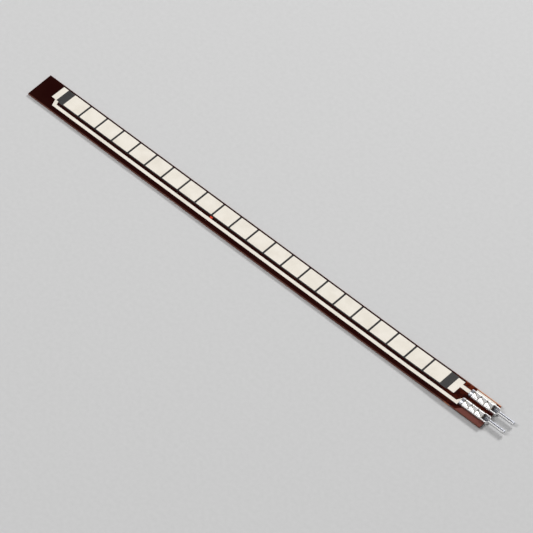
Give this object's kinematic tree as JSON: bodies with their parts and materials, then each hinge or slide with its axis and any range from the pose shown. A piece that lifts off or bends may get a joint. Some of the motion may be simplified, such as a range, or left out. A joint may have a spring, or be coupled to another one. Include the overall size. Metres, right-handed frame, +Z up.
{
  "type": "flex sensor",
  "caption": "Thin amber bend-sensing strip with silver pads printed over a carbon track, a silver return trace beside it, and two crimped flat pins at one end.",
  "frame": {"origin": "on the surface that the strip lies on, under the middle of the whole outline", "axes": "+X runs along the strip towards the contact pins, +Y across it from the return trace to the carbon track, +Z up from the printed face"},
  "size_m": [0.1138, 0.006, 0.001],
  "materials": {
    "film": "dark amber polymer film, glossy face, slightly translucent at its cut edges",
    "carbon_ink": "screen printed carbon ink, matte dark grey",
    "silver_ink": "screen printed silver ink, pale cream silver, matte with a fine grain",
    "spot_ink": "orange red ink, matte",
    "tinned_contact": "bright tin plate on folded sheet"
  },
  "bodies": {
    "root": {"film": "film", "carbon_track": "carbon_ink", "return_trace": "silver_ink", "near_terminal": "silver_ink", "pad_01": "silver_ink", "pad_02": "silver_ink", "pad_03": "silver_ink", "pad_04": "silver_ink", "pad_05": "silver_ink", "pad_06": "silver_ink", "pad_07": "silver_ink", "pad_08": "silver_ink", "pad_09": "silver_ink", "pad_10": "silver_ink", "pad_11": "silver_ink", "pad_12": "silver_ink", "pad_13": "silver_ink", "pad_14": "silver_ink", "pad_15": "silver_ink", "pad_16": "silver_ink", "pad_17": "silver_ink", "pad_18": "silver_ink", "pad_19": "silver_ink", "pad_20": "silver_ink", "pad_21": "silver_ink", "pad_22": "silver_ink", "registration_spot": "spot_ink", "return_contact": "tinned_contact", "terminal_contact": "tinned_contact"}
  },
  "joints": []
}
